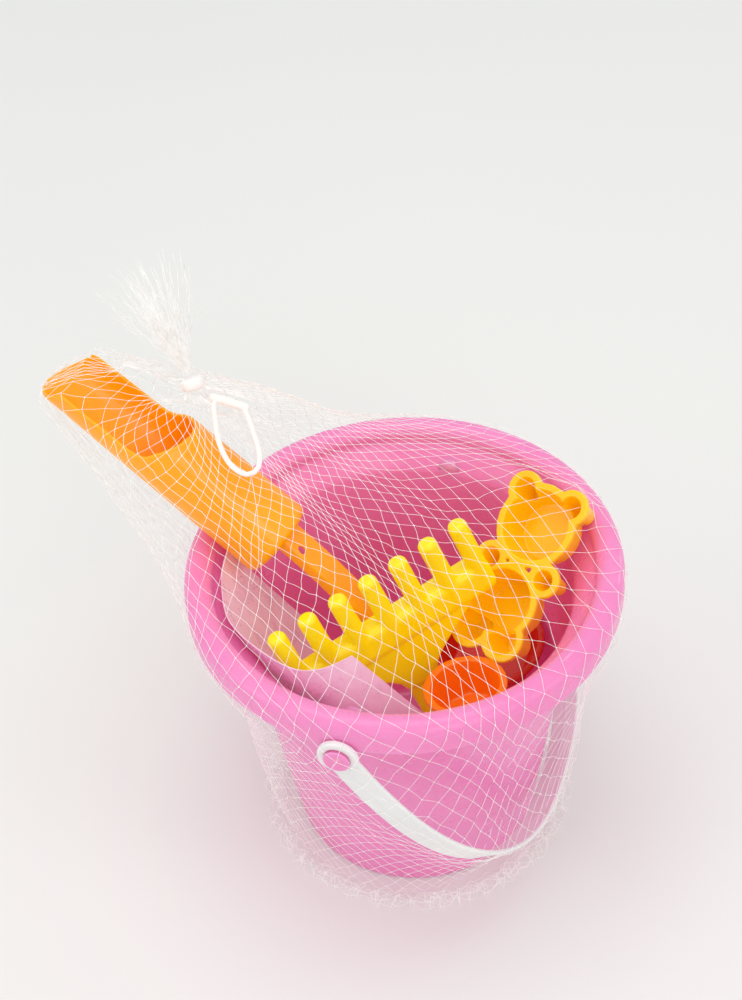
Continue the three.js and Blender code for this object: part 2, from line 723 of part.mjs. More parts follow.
function hangLoop() {
  const [from, to] = LOOP_BAR.map((p) => new THREE.Vector3(...p));
  const length = from.distanceTo(to);
  const bar = new THREE.CapsuleGeometry(1.9, length - 3.8, 5, 14);
  bar.applyQuaternion(
    new THREE.Quaternion().setFromUnitVectors(
      new THREE.Vector3(0, 1, 0), to.clone().sub(from).normalize(),
    ),
  );
  bar.translate(...from.clone().add(to).multiplyScalar(0.5).toArray());
  const path = new THREE.CatmullRomCurve3(LOOP_PATH.map((p) => new THREE.Vector3(...p)), true);
  const frames = path.computeFrenetFrames(28, true);
  const surface = (u, v, target) => {
    const k = Math.round(v * 28) % 28;
    const angle = (Math.round(u * 8) % 8) * (Math.PI / 4);
    target
      .copy(path.getPointAt(k / 28))
      .addScaledVector(frames.normals[k], LOOP_CORD * Math.cos(angle))
      .addScaledVector(frames.binormals[k], LOOP_CORD * Math.sin(angle));
  };
  const loop = solid(new ParametricGeometry(surface, 8, 28));
  return mesh("hang_loop", "clip_white", solid(bar).add(loop));
}

const toys = [scoop(), rake(), figureMould()];
const strap = bail();
const root = new THREE.Group();
root.add(bucket(), strap, ...toys, ...roundMoulds(), card());
root.add(netBag([strap, ...toys]), netTuft(), neckSeal(), hangLoop());

export default root;
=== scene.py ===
"""A sand bucket set in a net bag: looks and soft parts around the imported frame. Blender 4.5."""

import math
import random

import bmesh
import bpy
import numpy as np
from mathutils import Matrix, Vector
from mathutils.bvhtree import BVHTree


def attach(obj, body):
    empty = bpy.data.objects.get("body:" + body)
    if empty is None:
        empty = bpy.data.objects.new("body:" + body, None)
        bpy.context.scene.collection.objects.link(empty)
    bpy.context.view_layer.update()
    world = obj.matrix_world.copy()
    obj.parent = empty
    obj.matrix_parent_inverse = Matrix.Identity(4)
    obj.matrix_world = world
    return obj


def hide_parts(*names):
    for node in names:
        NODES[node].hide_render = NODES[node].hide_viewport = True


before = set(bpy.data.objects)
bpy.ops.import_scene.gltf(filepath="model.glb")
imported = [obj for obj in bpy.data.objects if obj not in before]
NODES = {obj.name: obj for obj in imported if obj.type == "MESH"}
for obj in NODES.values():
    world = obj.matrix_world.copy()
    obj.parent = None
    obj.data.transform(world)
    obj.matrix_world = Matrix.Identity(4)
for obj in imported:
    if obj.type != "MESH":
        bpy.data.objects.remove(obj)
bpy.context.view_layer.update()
MM = 0.001
FAR = 0.7

# the bucket, as the frame has it, in millimetres
RIM_INNER = 84.4
RIM_OUTER = 97.0
HEIGHT = 160.0
BASE_RADIUS = 58.5
WALL = 1.6
FLOOR = 2.2
WALL_TOP = 76.4
SKIRT_Z = 145.3
PIVOT_Z = 143.0
PIVOT_ANGLE = math.radians(-110)
BUCKET_SEGMENTS = 224
BOSS_SEGMENTS = 64

# the bail
BAIL_HALF_SPAN = 99.0
BAIL_REACH = 131.5
BAIL_SQUARENESS = 0.82
BAIL_DROP = math.radians(58)
STRAP_WIDTH = 14.4
STRAP_THICKNESS = 2.2
STRAP_STATIONS = 220
EYE_SEGMENTS = 72

# the net
NECK = Vector((-84.4, 50.2, 224.0)) * MM
NECK_WAY = Vector((-0.17, 0.4, 0.9)).normalized()
TUFT_WAY = NECK_WAY + Vector((-0.2, -0.05, 0))
NET_COLUMNS = 64
NET_ROW_STEP = 5.2 * MM
NET_FLOOR = 0.8 * MM
NET_ROUNDS = 160
NET_CONE = 0.03
NET_SAG = 26 * MM
NET_GAP = 0.7 * MM
THREAD = 0.1 * MM
KNOT = 0.38 * MM
TUFT_STRANDS = 150


# ---- materials ------------------------------------------------------------------------------

def linear(red, green, blue):
    """A display colour, 0 to 255, as linear RGBA."""
    def one(value):
        share = value / 255
        return share / 12.92 if share <= 0.04045 else ((share + 0.055) / 1.055) ** 2.4
    return (one(red), one(green), one(blue), 1.0)


def new_material(name):
    made = bpy.data.materials.new(name)
    made.use_nodes = True
    return made, made.node_tree.nodes, made.node_tree.links, made.node_tree.nodes["Principled BSDF"]


def noise(nodes, links, scale, detail=4.0, roughness=0.5):
    where = nodes.new("ShaderNodeTexCoord")
    texture = nodes.new("ShaderNodeTexNoise")
    texture.inputs["Scale"].default_value = scale
    texture.inputs["Detail"].default_value = detail
    texture.inputs["Roughness"].default_value = roughness
    links.new(where.outputs["Object"], texture.inputs["Vector"])
    return texture


def ranged(nodes, links, source, low, high, from_low=0.35, from_high=0.65):
    mapped = nodes.new("ShaderNodeMapRange")
    mapped.inputs["From Min"].default_value = from_low
    mapped.inputs["From Max"].default_value = from_high
    mapped.inputs["To Min"].default_value = low
    mapped.inputs["To Max"].default_value = high
    links.new(source, mapped.inputs["Value"])
    return mapped.outputs["Result"]


def blended(nodes, links, share, first, second):
    mix = nodes.new("ShaderNodeMix")
    mix.data_type = "RGBA"
    mix.inputs[6].default_value = first
    mix.inputs[7].default_value = second
    links.new(share, mix.inputs[0])
    return mix.outputs[2]


def plastic(name, colour, shade, lit_edge, rough, glow, glow_reach, painted_glow, painted_glow_strength):
    """Moulded plastic: flow marks, a fine grain, a painted highlight on the edges, light inside and a
    painted glow that lifts the shade.
    """
    made, nodes, links, shader = new_material(name)
    flow = noise(nodes, links, 24, 3)
    body = blended(nodes, links, ranged(nodes, links, flow.outputs["Fac"], 0, 1), shade, colour)
    edges = nodes.new("ShaderNodeNewGeometry")
    # painted highlight: convex edges are mixed towards a lighter colour, as light catching them would
    # be
    lit_edge_mask = ranged(nodes, links, edges.outputs["Pointiness"], 0, 0.55, 0.515, 0.6)
    over = nodes.new("ShaderNodeMix")
    over.data_type = "RGBA"
    over.inputs[7].default_value = lit_edge
    links.new(lit_edge_mask, over.inputs[0])
    links.new(body, over.inputs[6])
    links.new(over.outputs[2], shader.inputs["Base Color"])
    smears = noise(nodes, links, 60, 5, 0.6)
    links.new(ranged(nodes, links, smears.outputs["Fac"], rough - 0.05, rough + 0.09),
              shader.inputs["Roughness"])
    fine = noise(nodes, links, 1400, 2)
    bump = nodes.new("ShaderNodeBump")
    bump.inputs["Strength"].default_value = 0.05
    bump.inputs["Distance"].default_value = 0.0002
    links.new(fine.outputs["Fac"], bump.inputs["Height"])
    links.new(bump.outputs["Normal"], shader.inputs["Normal"])
    shader.inputs["IOR"].default_value = 1.49
    shader.inputs["Subsurface Weight"].default_value = glow
    shader.inputs["Subsurface Radius"].default_value = glow_reach
    shader.inputs["Subsurface Scale"].default_value = MM
    # painted glow: a faint emission that lifts the shaded parts, as light would
    shader.inputs["Emission Color"].default_value = painted_glow
    shader.inputs["Emission Strength"].default_value = painted_glow_strength
    return made


def thread_material():
    """Drawn plastic thread: milky, with a soft shine and uneven clearness along its length."""
    made, nodes, links, shader = new_material("net_thread")
    along = noise(nodes, links, 220, 3)
    share = ranged(nodes, links, along.outputs["Fac"], 0, 1)
    links.new(blended(nodes, links, share, linear(238, 234, 230), linear(255, 255, 253)),
              shader.inputs["Base Color"])
    links.new(ranged(nodes, links, along.outputs["Fac"], 0.3, 0.5), shader.inputs["Roughness"])
    shader.inputs["Transmission Weight"].default_value = 0.1
    # painted glow: a faint white emission that whitens the threads, as light would
    shader.inputs["Emission Color"].default_value = (1.0, 0.99, 0.98, 1.0)
    shader.inputs["Emission Strength"].default_value = 0.16
    return made


def card_material():
    """A thin glossy card that lets some light and colour through, with a painted pink glow that
    brightens it.
    """
    made, nodes, links, shader = new_material("card")
    fibres = noise(nodes, links, 90, 6, 0.65)
    share = ranged(nodes, links, fibres.outputs["Fac"], 0, 1)
    links.new(blended(nodes, links, share, linear(236, 200, 222), linear(247, 222, 238)),
              shader.inputs["Base Color"])
    links.new(ranged(nodes, links, fibres.outputs["Fac"], 0.24, 0.36), shader.inputs["Roughness"])
    shader.inputs["Transmission Weight"].default_value = 0.15
    shader.inputs["IOR"].default_value = 1.35
    # painted glow: a faint pink emission that brightens the card, as light through it would
    shader.inputs["Emission Color"].default_value = linear(255, 190, 215)
    shader.inputs["Emission Strength"].default_value = 0.08
    return made


def floor_material():
    made, nodes, links, shader = new_material("floor")
    cloud = noise(nodes, links, 1.5, 2)
    share = ranged(nodes, links, cloud.outputs["Fac"], 0, 1)
    links.new(blended(nodes, links, share, linear(237, 238, 235), linear(239, 240, 237)),
              shader.inputs["Base Color"])
    shader.inputs["Roughness"].default_value = 0.75
    return made


# Each plastic's third colour is its painted edge highlight. Its last two values are its painted glow,
# an emission colour and strength that lift the shade.
PINK = plastic("pink_plastic", linear(247, 146, 200), linear(243, 138, 194), linear(253, 196, 226),
               0.24, 0.35, (9, 2.5, 4), linear(255, 96, 140), 0.035)
WHITE = plastic("white_plastic", linear(240, 240, 238), linear(232, 232, 231),
                linear(250, 250, 250), 0.34, 0.2, (2, 2, 2), linear(255, 255, 255), 0.03)
ORANGE = plastic("orange_plastic", linear(255, 174, 2), linear(253, 166, 2), linear(255, 208, 50),
                 0.3, 0.2, (5, 2, 0.5), linear(255, 140, 0), 0.1)
YELLOW = plastic("yellow_plastic", linear(255, 236, 8), linear(254, 226, 6), linear(255, 247, 110),
                 0.27, 0.25, (5, 4, 0.6), linear(255, 225, 0), 0.08)
GOLD = plastic("gold_plastic", linear(255, 208, 6), linear(254, 198, 4), linear(255, 232, 90),
               0.27, 0.25, (5, 3, 0.6), linear(255, 180, 0), 0.08)
RED = plastic("red_plastic", linear(222, 52, 22), linear(208, 44, 20), linear(240, 96, 60),
              0.3, 0.2, (5, 0.8, 0.5), linear(255, 40, 10), 0.05)
DEEP_ORANGE = plastic("deep_orange_plastic", linear(247, 124, 14), linear(238, 112, 10),
                      linear(252, 168, 80), 0.3, 0.2, (5, 2, 0.5), linear(255, 110, 0), 0.08)
CLIP = plastic("clip_plastic", linear(253, 249, 248), linear(250, 240, 234), linear(255, 254, 253),
               0.32, 0.3, (3, 2.4, 2), linear(255, 240, 232), 0.06)
THREADS = thread_material()
CARD = card_material()


# ---- meshes ---------------------------------------------------------------------------------

def add_object(name, mesh, material, body, slot, *stood_for):
    """Puts a mesh in the scene as a piece that rides on a body."""
    made = bpy.data.objects.new(name, mesh)
    bpy.context.scene.collection.objects.link(made)
    mesh.materials.clear()
    mesh.materials.append(material)
    mesh.shade_smooth()
    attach(made, body)
    if stood_for:
        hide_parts(*stood_for)
    return made


def mesh_of(name, points, faces):
    mesh = bpy.data.meshes.new(name)
    mesh.from_pydata([tuple(p) for p in points], [], [tuple(f) for f in faces])
    mesh.validate()
    return mesh


def rounded(profile, rounds=2):
    """Corner cutting: each round replaces a corner by two points, and keeps the ends."""
    for _ in range(rounds):
        cut = [profile[0]]
        for (x0, y0), (x1, y1) in zip(profile, profile[1:]):
            cut.append((0.75 * x0 + 0.25 * x1, 0.75 * y0 + 0.25 * y1))
            cut.append((0.25 * x0 + 0.75 * x1, 0.25 * y0 + 0.75 * y1))
        cut.append(profile[-1])
        profile = cut
    return profile


def turned(name, profile, segments):
    """A closed surface turned about Z from a profile that starts and ends on the axis."""
    points, faces = [(0, 0, profile[0][1] * MM)], []
    inner = profile[1:-1]
    for radius, z in inner:
        for k in range(segments):
            angle = 2 * math.pi * k / segments
            points.append((radius * MM * math.cos(angle), radius * MM * math.sin(angle), z * MM))
    points.append((0, 0, profile[-1][1] * MM))
    last = len(points) - 1
    for row in range(len(inner) - 1):
        for k in range(segments):
            a, b = 1 + row * segments, 1 + (row + 1) * segments
            after = (k + 1) % segments
            faces.append((a + k, a + after, b + after, b + k))
    for k in range(segments):
        after = (k + 1) % segments
        end = last - segments
        faces.append((0, 1 + after, 1 + k))
        faces.append((last, end + k, end + after))
    return mesh_of(name, points, faces)


def moulded(name, node, material, body, slot, voxel, rounds):
    """A CAD piece with its edges rounded and its facets smoothed, as a mould leaves it."""
    source = bpy.data.objects.new(name + "_source", NODES[node].data.copy())
    bpy.context.scene.collection.objects.link(source)
    weld = source.modifiers.new("weld", "WELD")
    weld.merge_threshold = 0.00001
    remesh = source.modifiers.new("remesh", "REMESH")
    remesh.mode = "VOXEL"
    remesh.voxel_size = voxel * MM
    smooth = source.modifiers.new("smooth", "SMOOTH")
    smooth.factor = 0.5
    smooth.iterations = rounds
    view = bpy.context.evaluated_depsgraph_get()
    mesh = bpy.data.meshes.new_from_object(source.evaluated_get(view))
    bpy.data.objects.remove(source)
    mesh.name = name
    return add_object(name, mesh, material, body, slot, node)


# ---- bucket ---------------------------------------------------------------------------------

def arch(inner, outer, spring, top, count):
    middle, half = (inner + outer) / 2, (outer - inner) / 2
    turns = [math.pi * (1 - k / count) for k in range(count + 1)]
    return [(middle + half * math.cos(t), spring + (top - spring) * math.sin(t)) for t in turns]


def bucket_profile():
    outside = [
        (0, 0), (30, 0), (BASE_RADIUS - 2, 0), (BASE_RADIUS, 1), (BASE_RADIUS + 0.2, 4),
        (WALL_TOP, 139), (RIM_INNER - 6.8, 141.6), (RIM_INNER - 4.2, 144.6), (RIM_INNER - 1.1, 148),
    ]
    under = arch(RIM_INNER + WALL, RIM_OUTER - WALL, 154, HEIGHT - WALL, 10)
    skirt = [
        (RIM_OUTER - WALL, SKIRT_Z + 0.3), (RIM_OUTER - 0.7, SKIRT_Z - 0.1),
        (RIM_OUTER + 0.2, SKIRT_Z + 0.3),
    ]
    over = arch(RIM_INNER, RIM_OUTER, 154, HEIGHT, 20)[::-1]
    inside = [
        (RIM_INNER - 0.5, 152.2), (RIM_INNER - 2.6, 149.5), (RIM_INNER - 5.8, 146),
        (RIM_INNER - 8.4, 142.5), (WALL_TOP - WALL, 139.5), (BASE_RADIUS - WALL + 0.3, 6.2),
        (BASE_RADIUS - WALL - 1.2, 3.4), (BASE_RADIUS - WALL - 4, FLOOR), (20, FLOOR), (0, FLOOR),
    ]
    return rounded(outside + under + skirt + over + inside)


def make_bucket():
    """The shell, and the two bosses that the bail turns on."""
    add_object("bucket_shell", turned("bucket_shell", bucket_profile(), BUCKET_SEGMENTS), PINK,
               "pail", "bucket_pink", "bucket")
    cap = rounded([(0, 96), (2, 96), (5, 96), (5, 101.3), (5.8, 101.5), (5.6, 102.1),
                   (4.4, 102.4), (2.2, 102.1), (0, 102)])
    stem = [(0, 76.2), (5, 76.2)] + cap[2:]
    for side, turn in (("near", 0), ("far", math.pi)):
        mesh = turned("boss_" + side, stem, BOSS_SEGMENTS)
        out = Matrix.Rotation(PIVOT_ANGLE + turn, 4, "Z") @ Matrix.Rotation(math.pi / 2, 4, "Y")
        mesh.transform(Matrix.Translation((0, 0, PIVOT_Z * MM)) @ out)
        add_object("boss_" + side, mesh, PINK, "pail", "bucket_pink")


# ---- bail -----------------------------------------------------------------------------------

def strap_section():
    """The strap across its width: rounded edges, a raised border and a fine middle ridge."""
    half, thick = STRAP_WIDTH / 2, STRAP_THICKNESS / 2
    face = []
    for k in range(25):
        z = -half + STRAP_WIDTH * k / 24
        ridge = 0.28 * math.exp(-((z / 0.5) ** 2))
        border = 0.25 / (1 + math.exp(-(abs(z) - half + 1.6) * 5))
        edge = min(1.0, (half - abs(z)) / 0.8)
        face.append((thick * (0.35 + 0.65 * math.sqrt(max(edge, 0))) + ridge + border - 0.25, z))
    return face + [(-x, z) for x, z in reversed(face)]


def strap_centre(t):
    """The strap's centre line, a squared arch from eye to eye, for t from 0 to 1."""
    c, s = math.cos(t * math.pi), max(0.0, math.sin(t * math.pi))
    x = math.copysign(abs(c) ** BAIL_SQUARENESS, c)
    return Vector((BAIL_HALF_SPAN * x, BAIL_REACH * s ** BAIL_SQUARENESS, 0))


def strap_mesh():
    """The strap's section carried along its centre line, and closed at both ends."""
    section = strap_section()
    count = len(section)
    points, faces = [], []
    for k in range(STRAP_STATIONS + 1):
        t = k / STRAP_STATIONS
        along = strap_centre(min(t + 0.002, 1)) - strap_centre(max(t - 0.002, 0))
        if k in (0, STRAP_STATIONS):
            along = Vector((0, 1 if k == 0 else -1, 0))
        along.normalize()
        outward = Vector((along.y, -along.x, 0))
        middle = strap_centre(t)
        points += [(middle + outward * x + Vector((0, 0, z))) * MM for x, z in section]
    for k in range(STRAP_STATIONS):
        a, b = k * count, (k + 1) * count
        for i in range(count):
            after = (i + 1) % count
            faces.append((a + i, a + after, b + after, b + i))
    faces.append(tuple(range(count)))
    faces.append(tuple(STRAP_STATIONS * count + i for i in reversed(range(count))))
    return mesh_of("strap", points, faces)


def eye_mesh(name, sign):
    """The round eye at one end of the strap, turned about the hinge line."""
    ring = rounded([(5.5, -1.25), (6.2, -1.45), (8.2, -1.45), (8.9, -1.2), (8.9, 1.2),
                    (8.2, 1.45), (6.2, 1.45), (5.5, 1.25), (5.5, -1.25)])[:-1]
    points, faces = [], []
    for radius, across in ring:
        for k in range(EYE_SEGMENTS):
            angle = 2 * math.pi * k / EYE_SEGMENTS
            points.append(Vector((sign * BAIL_HALF_SPAN + across, radius * math.cos(angle),
                                  radius * math.sin(angle))) * MM)
    for row in range(len(ring)):
        a, b = row * EYE_SEGMENTS, ((row + 1) % len(ring)) * EYE_SEGMENTS
        for k in range(EYE_SEGMENTS):
            after = (k + 1) % EYE_SEGMENTS
            faces.append((a + k, a + after, b + after, b + k))
    return mesh_of(name, points, faces)


def bail_place():
    """The strap's own axes: along the hinge, out to the far end of the arch, and across it."""
    near = Vector((math.cos(PIVOT_ANGLE), math.sin(PIVOT_ANGLE), 0))
    level = Vector((-near.y, near.x, 0))
    reach = level * math.cos(BAIL_DROP) - Vector((0, 0, math.sin(BAIL_DROP)))
    place = Matrix((near, reach, near.cross(reach))).transposed().to_4x4()
    place.translation = (0, 0, PIVOT_Z * MM)
    return place


def make_bail():
    place = bail_place()
    strap = strap_mesh()
    strap.transform(place)
    add_object("bail_strap", strap, WHITE, "handle", "bail_white", "bail")
    for side, sign in (("near", 1), ("far", -1)):
        eye = eye_mesh("eye_" + side, sign)
        eye.transform(place)
        add_object("bail_eye_" + side, eye, WHITE, "handle", "bail_white")


# ---- card -----------------------------------------------------------------------------------

def make_card():
    """The insert card, welded, with its long curve smoothed."""
    mesh = NODES["insert_card"].data.copy()
    work = bmesh.new()
    work.from_mesh(mesh)
    bmesh.ops.remove_doubles(work, verts=work.verts, dist=0.00001)
    bmesh.ops.dissolve_limit(work, angle_limit=math.radians(0.5), verts=work.verts,
                             edges=work.edges)
    for edge in work.edges:
        edge.smooth = edge.calc_face_angle(0) < math.radians(30)
    work.to_mesh(mesh)
    work.free()
    if "custom_normal" in mesh.attributes:
        mesh.attributes.remove(mesh.attributes["custom_normal"])
    add_object("card_sheet", mesh, CARD, "pail", "card_lilac", "insert_card")


# ---- net ------------------------------------------------------------------------------------

def hull_tree():
    data = NODES["net_bag"].data
    return BVHTree.FromPolygons([v.co for v in data.vertices],
                                [tuple(p.vertices) for p in data.polygons])


HULL = hull_tree()
HEART = Vector((-12, 4, 118)) * MM
FOOT_ANGLE = 149
NECK_ANGLE = 1.6


def cone(way, lean, count):
    """Directions that lean away from one direction by the same amount, all round it."""
    side = way.orthogonal().normalized()
    other = way.cross(side)
    turns = [2 * math.pi * k / count for k in range(count)]
    return [(way + (side * math.cos(t) + other * math.sin(t)) * lean).normalized() for t in turns]


def hull_reach(way):
    """How far the taut net reaches in a direction; over its gaps, the mean reach close by."""
    for lean in (0.0, 0.01, 0.02, 0.04, 0.08, 0.16):
        hits = [HULL.ray_cast(HEART + ray * FAR, -ray, FAR)[0]
                for ray in cone(way, lean, 8 if lean else 1)]
        found = [(hit - HEART).length for hit in hits if hit]
        if found:
            return sum(found) / len(found)
    return (NECK - HEART).length


def on_hull(way, inset=0.4 * MM):
    """The taut net in a direction from its heart, or the floor where the net is open below."""
    way = way.normalized()
    to_floor = (NET_FLOOR - HEART.z) / way.z if way.z < 0 else FAR
    return HEART + way * min(hull_reach(way) - inset, to_floor)


def ring_ways(share, count, offset):
    """The directions of one ring: nested circles that close in on the neck."""
    top = (NECK - HEART).normalized()
    lean = min(1.0, max(0.0, (share - 0.1) / 0.8))
    axis = Vector((0, 0, 1)).lerp(top, lean * lean * (3 - 2 * lean)).normalized()
    radius = math.radians(FOOT_ANGLE * (1 - share) + NECK_ANGLE * share)
    side = Vector((1, 0, 0))
    side = (side - axis * side.dot(axis)).normalized()
    other = axis.cross(side)
    ways = []
    for k in range(count):
        turn = 2 * math.pi * (k + offset) / count
        turn += 0.045 * math.sin(3 * turn + 0.7) + 0.03 * math.sin(5 * turn + 2.1)
        turn += 0.055 * share * math.sin(9 * turn + 1.0)
        around = side * math.cos(turn) + other * math.sin(turn)
        ways.append(axis * math.cos(radius) + around * math.sin(radius))
    return ways


def row_shares():
    """The rings' shares, so that neighbouring rows are about one step apart."""
    fine = 160
    middles = []
    for k in range(fine + 1):
        middles.append([on_hull(w) for w in ring_ways(k / fine, 16, 0)])
    travelled = [0.0]
    for a, b in zip(middles, middles[1:]):
        travelled.append(travelled[-1] + sum((q - p).length for p, q in zip(a, b)) / 16)
    rows = int(travelled[-1] / NET_ROW_STEP)
    wanted = [travelled[-1] * k / rows for k in range(rows + 1)]
    return list(np.interp(wanted, travelled, np.arange(fine + 1) / fine))


def contents_tree():
    """The rigid things the net lies on, as one search tree."""
    points, faces = [], []
    for name in ("bucket", "bail", "scoop", "rake", "figure_mould"):
        data = NODES[name].data
        faces += [tuple(len(points) + v for v in p.vertices) for p in data.polygons]
        points += [v.co for v in data.vertices]
    return BVHTree.FromPolygons(points, faces)


def reach_about(tree, way):
    """How far the contents reach from the heart in a direction, and in a narrow cone round it."""
    rays = [way.normalized()] + cone(way, NET_CONE, 8)
    hits = [tree.ray_cast(HEART + ray * FAR, -ray, FAR)[0] for ray in rays]
    return max([(hit - HEART).length for hit in hits if hit], default=0.0)


def net_rays(shares):
    """Each knot's direction from the heart, and its reach on the taut net."""
    rays = np.array([
        [on_hull(w) - HEART for w in ring_ways(share, NET_COLUMNS, 0.5 * (row % 2))]
        for row, share in enumerate(shares)
    ])
    taut = np.linalg.norm(rays, axis=2)
    return rays / taut[..., None], taut


def least_reach(ways, taut, shares):
    """How far in each knot may come: onto the contents, and never past the deepest sag."""
    tree = contents_tree()
    least = np.array([[reach_about(tree, Vector(way)) + NET_GAP for way in row] for row in ways])
    sag = NET_SAG * np.clip((0.97 - np.array(shares)) / 0.35, 0, 1)[:, None]
    return np.maximum(least, taut - sag)


def drawn_in(ways, taut, least):
    """The reaches once every knot has settled between its four neighbours."""
    reach = taut.copy()
    odd = (np.arange(len(taut)) % 2 == 1)[1:-1, None, None]
    for _ in range(NET_ROUNDS):
        knots = ways * reach[..., None]
        above, below = knots[2:], knots[:-2]
        beside = np.where(odd, np.roll(above, -1, 1), np.roll(above, 1, 1))
        beside = beside + np.where(odd, np.roll(below, -1, 1), np.roll(below, 1, 1))
        drawn = np.sum((above + below + beside) / 4 * ways[1:-1], axis=2)
        reach[1:-1] = np.minimum(np.maximum(drawn, least[1:-1]), taut[1:-1])
    return reach


def drifted(grid, ways, chance):
    """Moves each knot a little along the net, so that no two cells are alike."""
    width = np.linalg.norm(np.roll(grid, -1, 1) - grid, axis=2)[:, :, None]
    drift = np.array([[[chance.gauss(0, 1) for _ in range(3)] for _ in range(NET_COLUMNS)]
                      for _ in grid])
    drift -= np.sum(drift * ways, axis=2)[..., None] * ways
    grid[1:-1] += drift[1:-1] * np.minimum(0.05 * width[1:-1], 0.5 * MM)
    return grid


def net_grid(chance):
    """The knots, row by row: each keeps its direction, and draws in until it meets the contents."""
    shares = row_shares()
    ways, taut = net_rays(shares)
    reach = drawn_in(ways, taut, least_reach(ways, taut, shares))
    return drifted(np.array(HEART) + ways * reach[..., None], ways, chance)


class Tubes:
    """Collects thin four-sided tubes and little knots in one mesh."""

    def __init__(self):
        self.points, self.faces = [], []

    def tube(self, line, radius):
        line = [Vector(p) for p in line]
        start = len(self.points)
        for i, p in enumerate(line):
            along = (line[min(i + 1, len(line) - 1)] - line[max(i - 1, 0)]).normalized()
            hint = Vector((0, 0, 1)) if abs(along.z) < 0.9 else Vector((1, 0, 0))
            side = along.cross(hint).normalized()
            other = along.cross(side)
            for x, y in ((1, 0), (0, 1), (-1, 0), (0, -1)):
                self.points.append(p + side * (x * radius) + other * (y * radius))
        for i in range(len(line) - 1):
            a = start + 4 * i
            for k in range(4):
                after = (k + 1) % 4
                self.faces.append((a + k, a + after, a + 4 + after, a + 4 + k))
        end = start + 4 * (len(line) - 1)
        self.faces.append((start + 3, start + 2, start + 1, start))
        self.faces.append((end, end + 1, end + 2, end + 3))

    def knot(self, place, size, stretch):
        """A small six-sided double pyramid, longer along the strands."""
        start = len(self.points)
        up = Vector(stretch).normalized()
        side = up.orthogonal().normalized()
        other = up.cross(side)
        place = Vector(place)
        self.points += [place + up * size * 1.35, place - up * size * 1.35]
        for k in range(6):
            angle = k * math.pi / 3
            self.points.append(
                place + side * (size * 0.8 * math.cos(angle)) + other * (size * 0.8 * math.sin(angle)))
        for k in range(6):
            after = (k + 1) % 6
            self.faces.append((start, start + 2 + k, start + 2 + after))
            self.faces.append((start + 1, start + 2 + after, start + 2 + k))

    def mesh(self, name):
        return mesh_of(name, self.points, self.faces)


def thread_between(a, b, chance, slack):
    """A strand between two knots that bows a little."""
    a, b = Vector(a), Vector(b)
    middle = (a + b) / 2
    reach = (b - a).length
    away = (middle - HEART).normalized()
    side = (b - a).cross(away).normalized()
    bow = side * (chance.gauss(0, slack) * reach) - away * (abs(chance.gauss(0, slack)) * reach * 0.4)
    return [a, middle + bow, b]


def make_net():
    chance = random.Random(7)
    tubes = Tubes()
    grid = net_grid(chance)
    rows = len(grid)
    for row in range(rows):
        shift = 1 if row % 2 else 0
        for k in range(NET_COLUMNS):
            knot = grid[row, k]
            up = grid[row + 1, k] - knot if row < rows - 1 else knot - grid[row - 1, k]
            if row < rows - 3:
                tubes.knot(knot, KNOT * chance.uniform(0.75, 1.1), up)
            if row == rows - 1:
                continue
            for step in (shift - 1, shift):
                other = grid[row + 1, (k + step) % NET_COLUMNS]
                tubes.tube(thread_between(knot, other, chance, 0.035), THREAD)
    neck_strands(tubes, grid[-1], chance)
    foot_laps(tubes, chance)
    foot_fringe(tubes, chance)
    loose_strand(tubes, chance)
    add_object("net_mesh", tubes.mesh("net_mesh"), THREADS, "net", "net_white", "net_bag")


def neck_strands(tubes, last, chance):
    """The strands of the last row run up into the seal."""
    side = NECK_WAY.orthogonal().normalized()
    other = NECK_WAY.cross(side)
    for k, start in enumerate(last):
        angle = 2 * math.pi * k / len(last)
        spread = chance.uniform(0.8, 3.0) * MM
        end = NECK + NECK_WAY * (4.5 * MM)
        end += side * (spread * math.cos(angle)) + other * (spread * math.sin(angle))
        start = Vector(start)
        tubes.tube([start, start.lerp(end, 0.5) + NECK_WAY * (0.6 * MM), end], THREAD)


def foot_laps(tubes, chance):
    """The net's lower edge lies in wavy laps round the foot, on the floor."""
    for lap in range(7):
        radius = (66.5 + 1.45 * lap) * MM
        line = []
        for k in range(241):
            angle = 2 * math.pi * k / 240
            wave = 1.3 * math.sin(23 * angle + 2.1 * lap) + 0.9 * math.sin(41 * angle + lap)
            wave += chance.gauss(0, 0.35)
            z = 1.0 + 0.5 * lap * (0.5 + 0.5 * math.sin(17 * angle + lap)) + abs(chance.gauss(0, 0.3))
            r = radius + wave * MM
            line.append(Vector((r * math.cos(angle), r * math.sin(angle), z * MM)))
        tubes.tube(line, THREAD)


def foot_fringe(tubes, chance):
    """Short strands that arch over the laps."""
    count = NET_COLUMNS * 4
    for k in range(count):
        angle = 2 * math.pi * (k + chance.random()) / count
        start = 66 + 3 * chance.random()
        end = 72 + 6 * chance.random()
        turn = chance.gauss(0, 0.05)
        line = []
        for step in range(5):
            t = step / 4
            r = (start + (end - start) * t) * MM
            a = angle + turn * t
            z = (0.9 + 5.5 * math.sin(math.pi * t) * chance.uniform(0.3, 1)) * MM
            line.append(Vector((r * math.cos(a), r * math.sin(a), z)))
        tubes.tube(line, THREAD)
        if k % 2:
            tubes.knot(line[2], KNOT, (1, 0, 0.2))


def loose_strand(tubes, chance):
    """One strand that hangs from the loop over the scoop."""
    points = [(-61, 4, 212), (-60, -4, 200), (-60.5, -9, 188), (-62, -12, 176), (-66, -14, 166)]
    line = [Vector(p) * MM for p in points]
    tubes.tube(line, THREAD * 1.2)


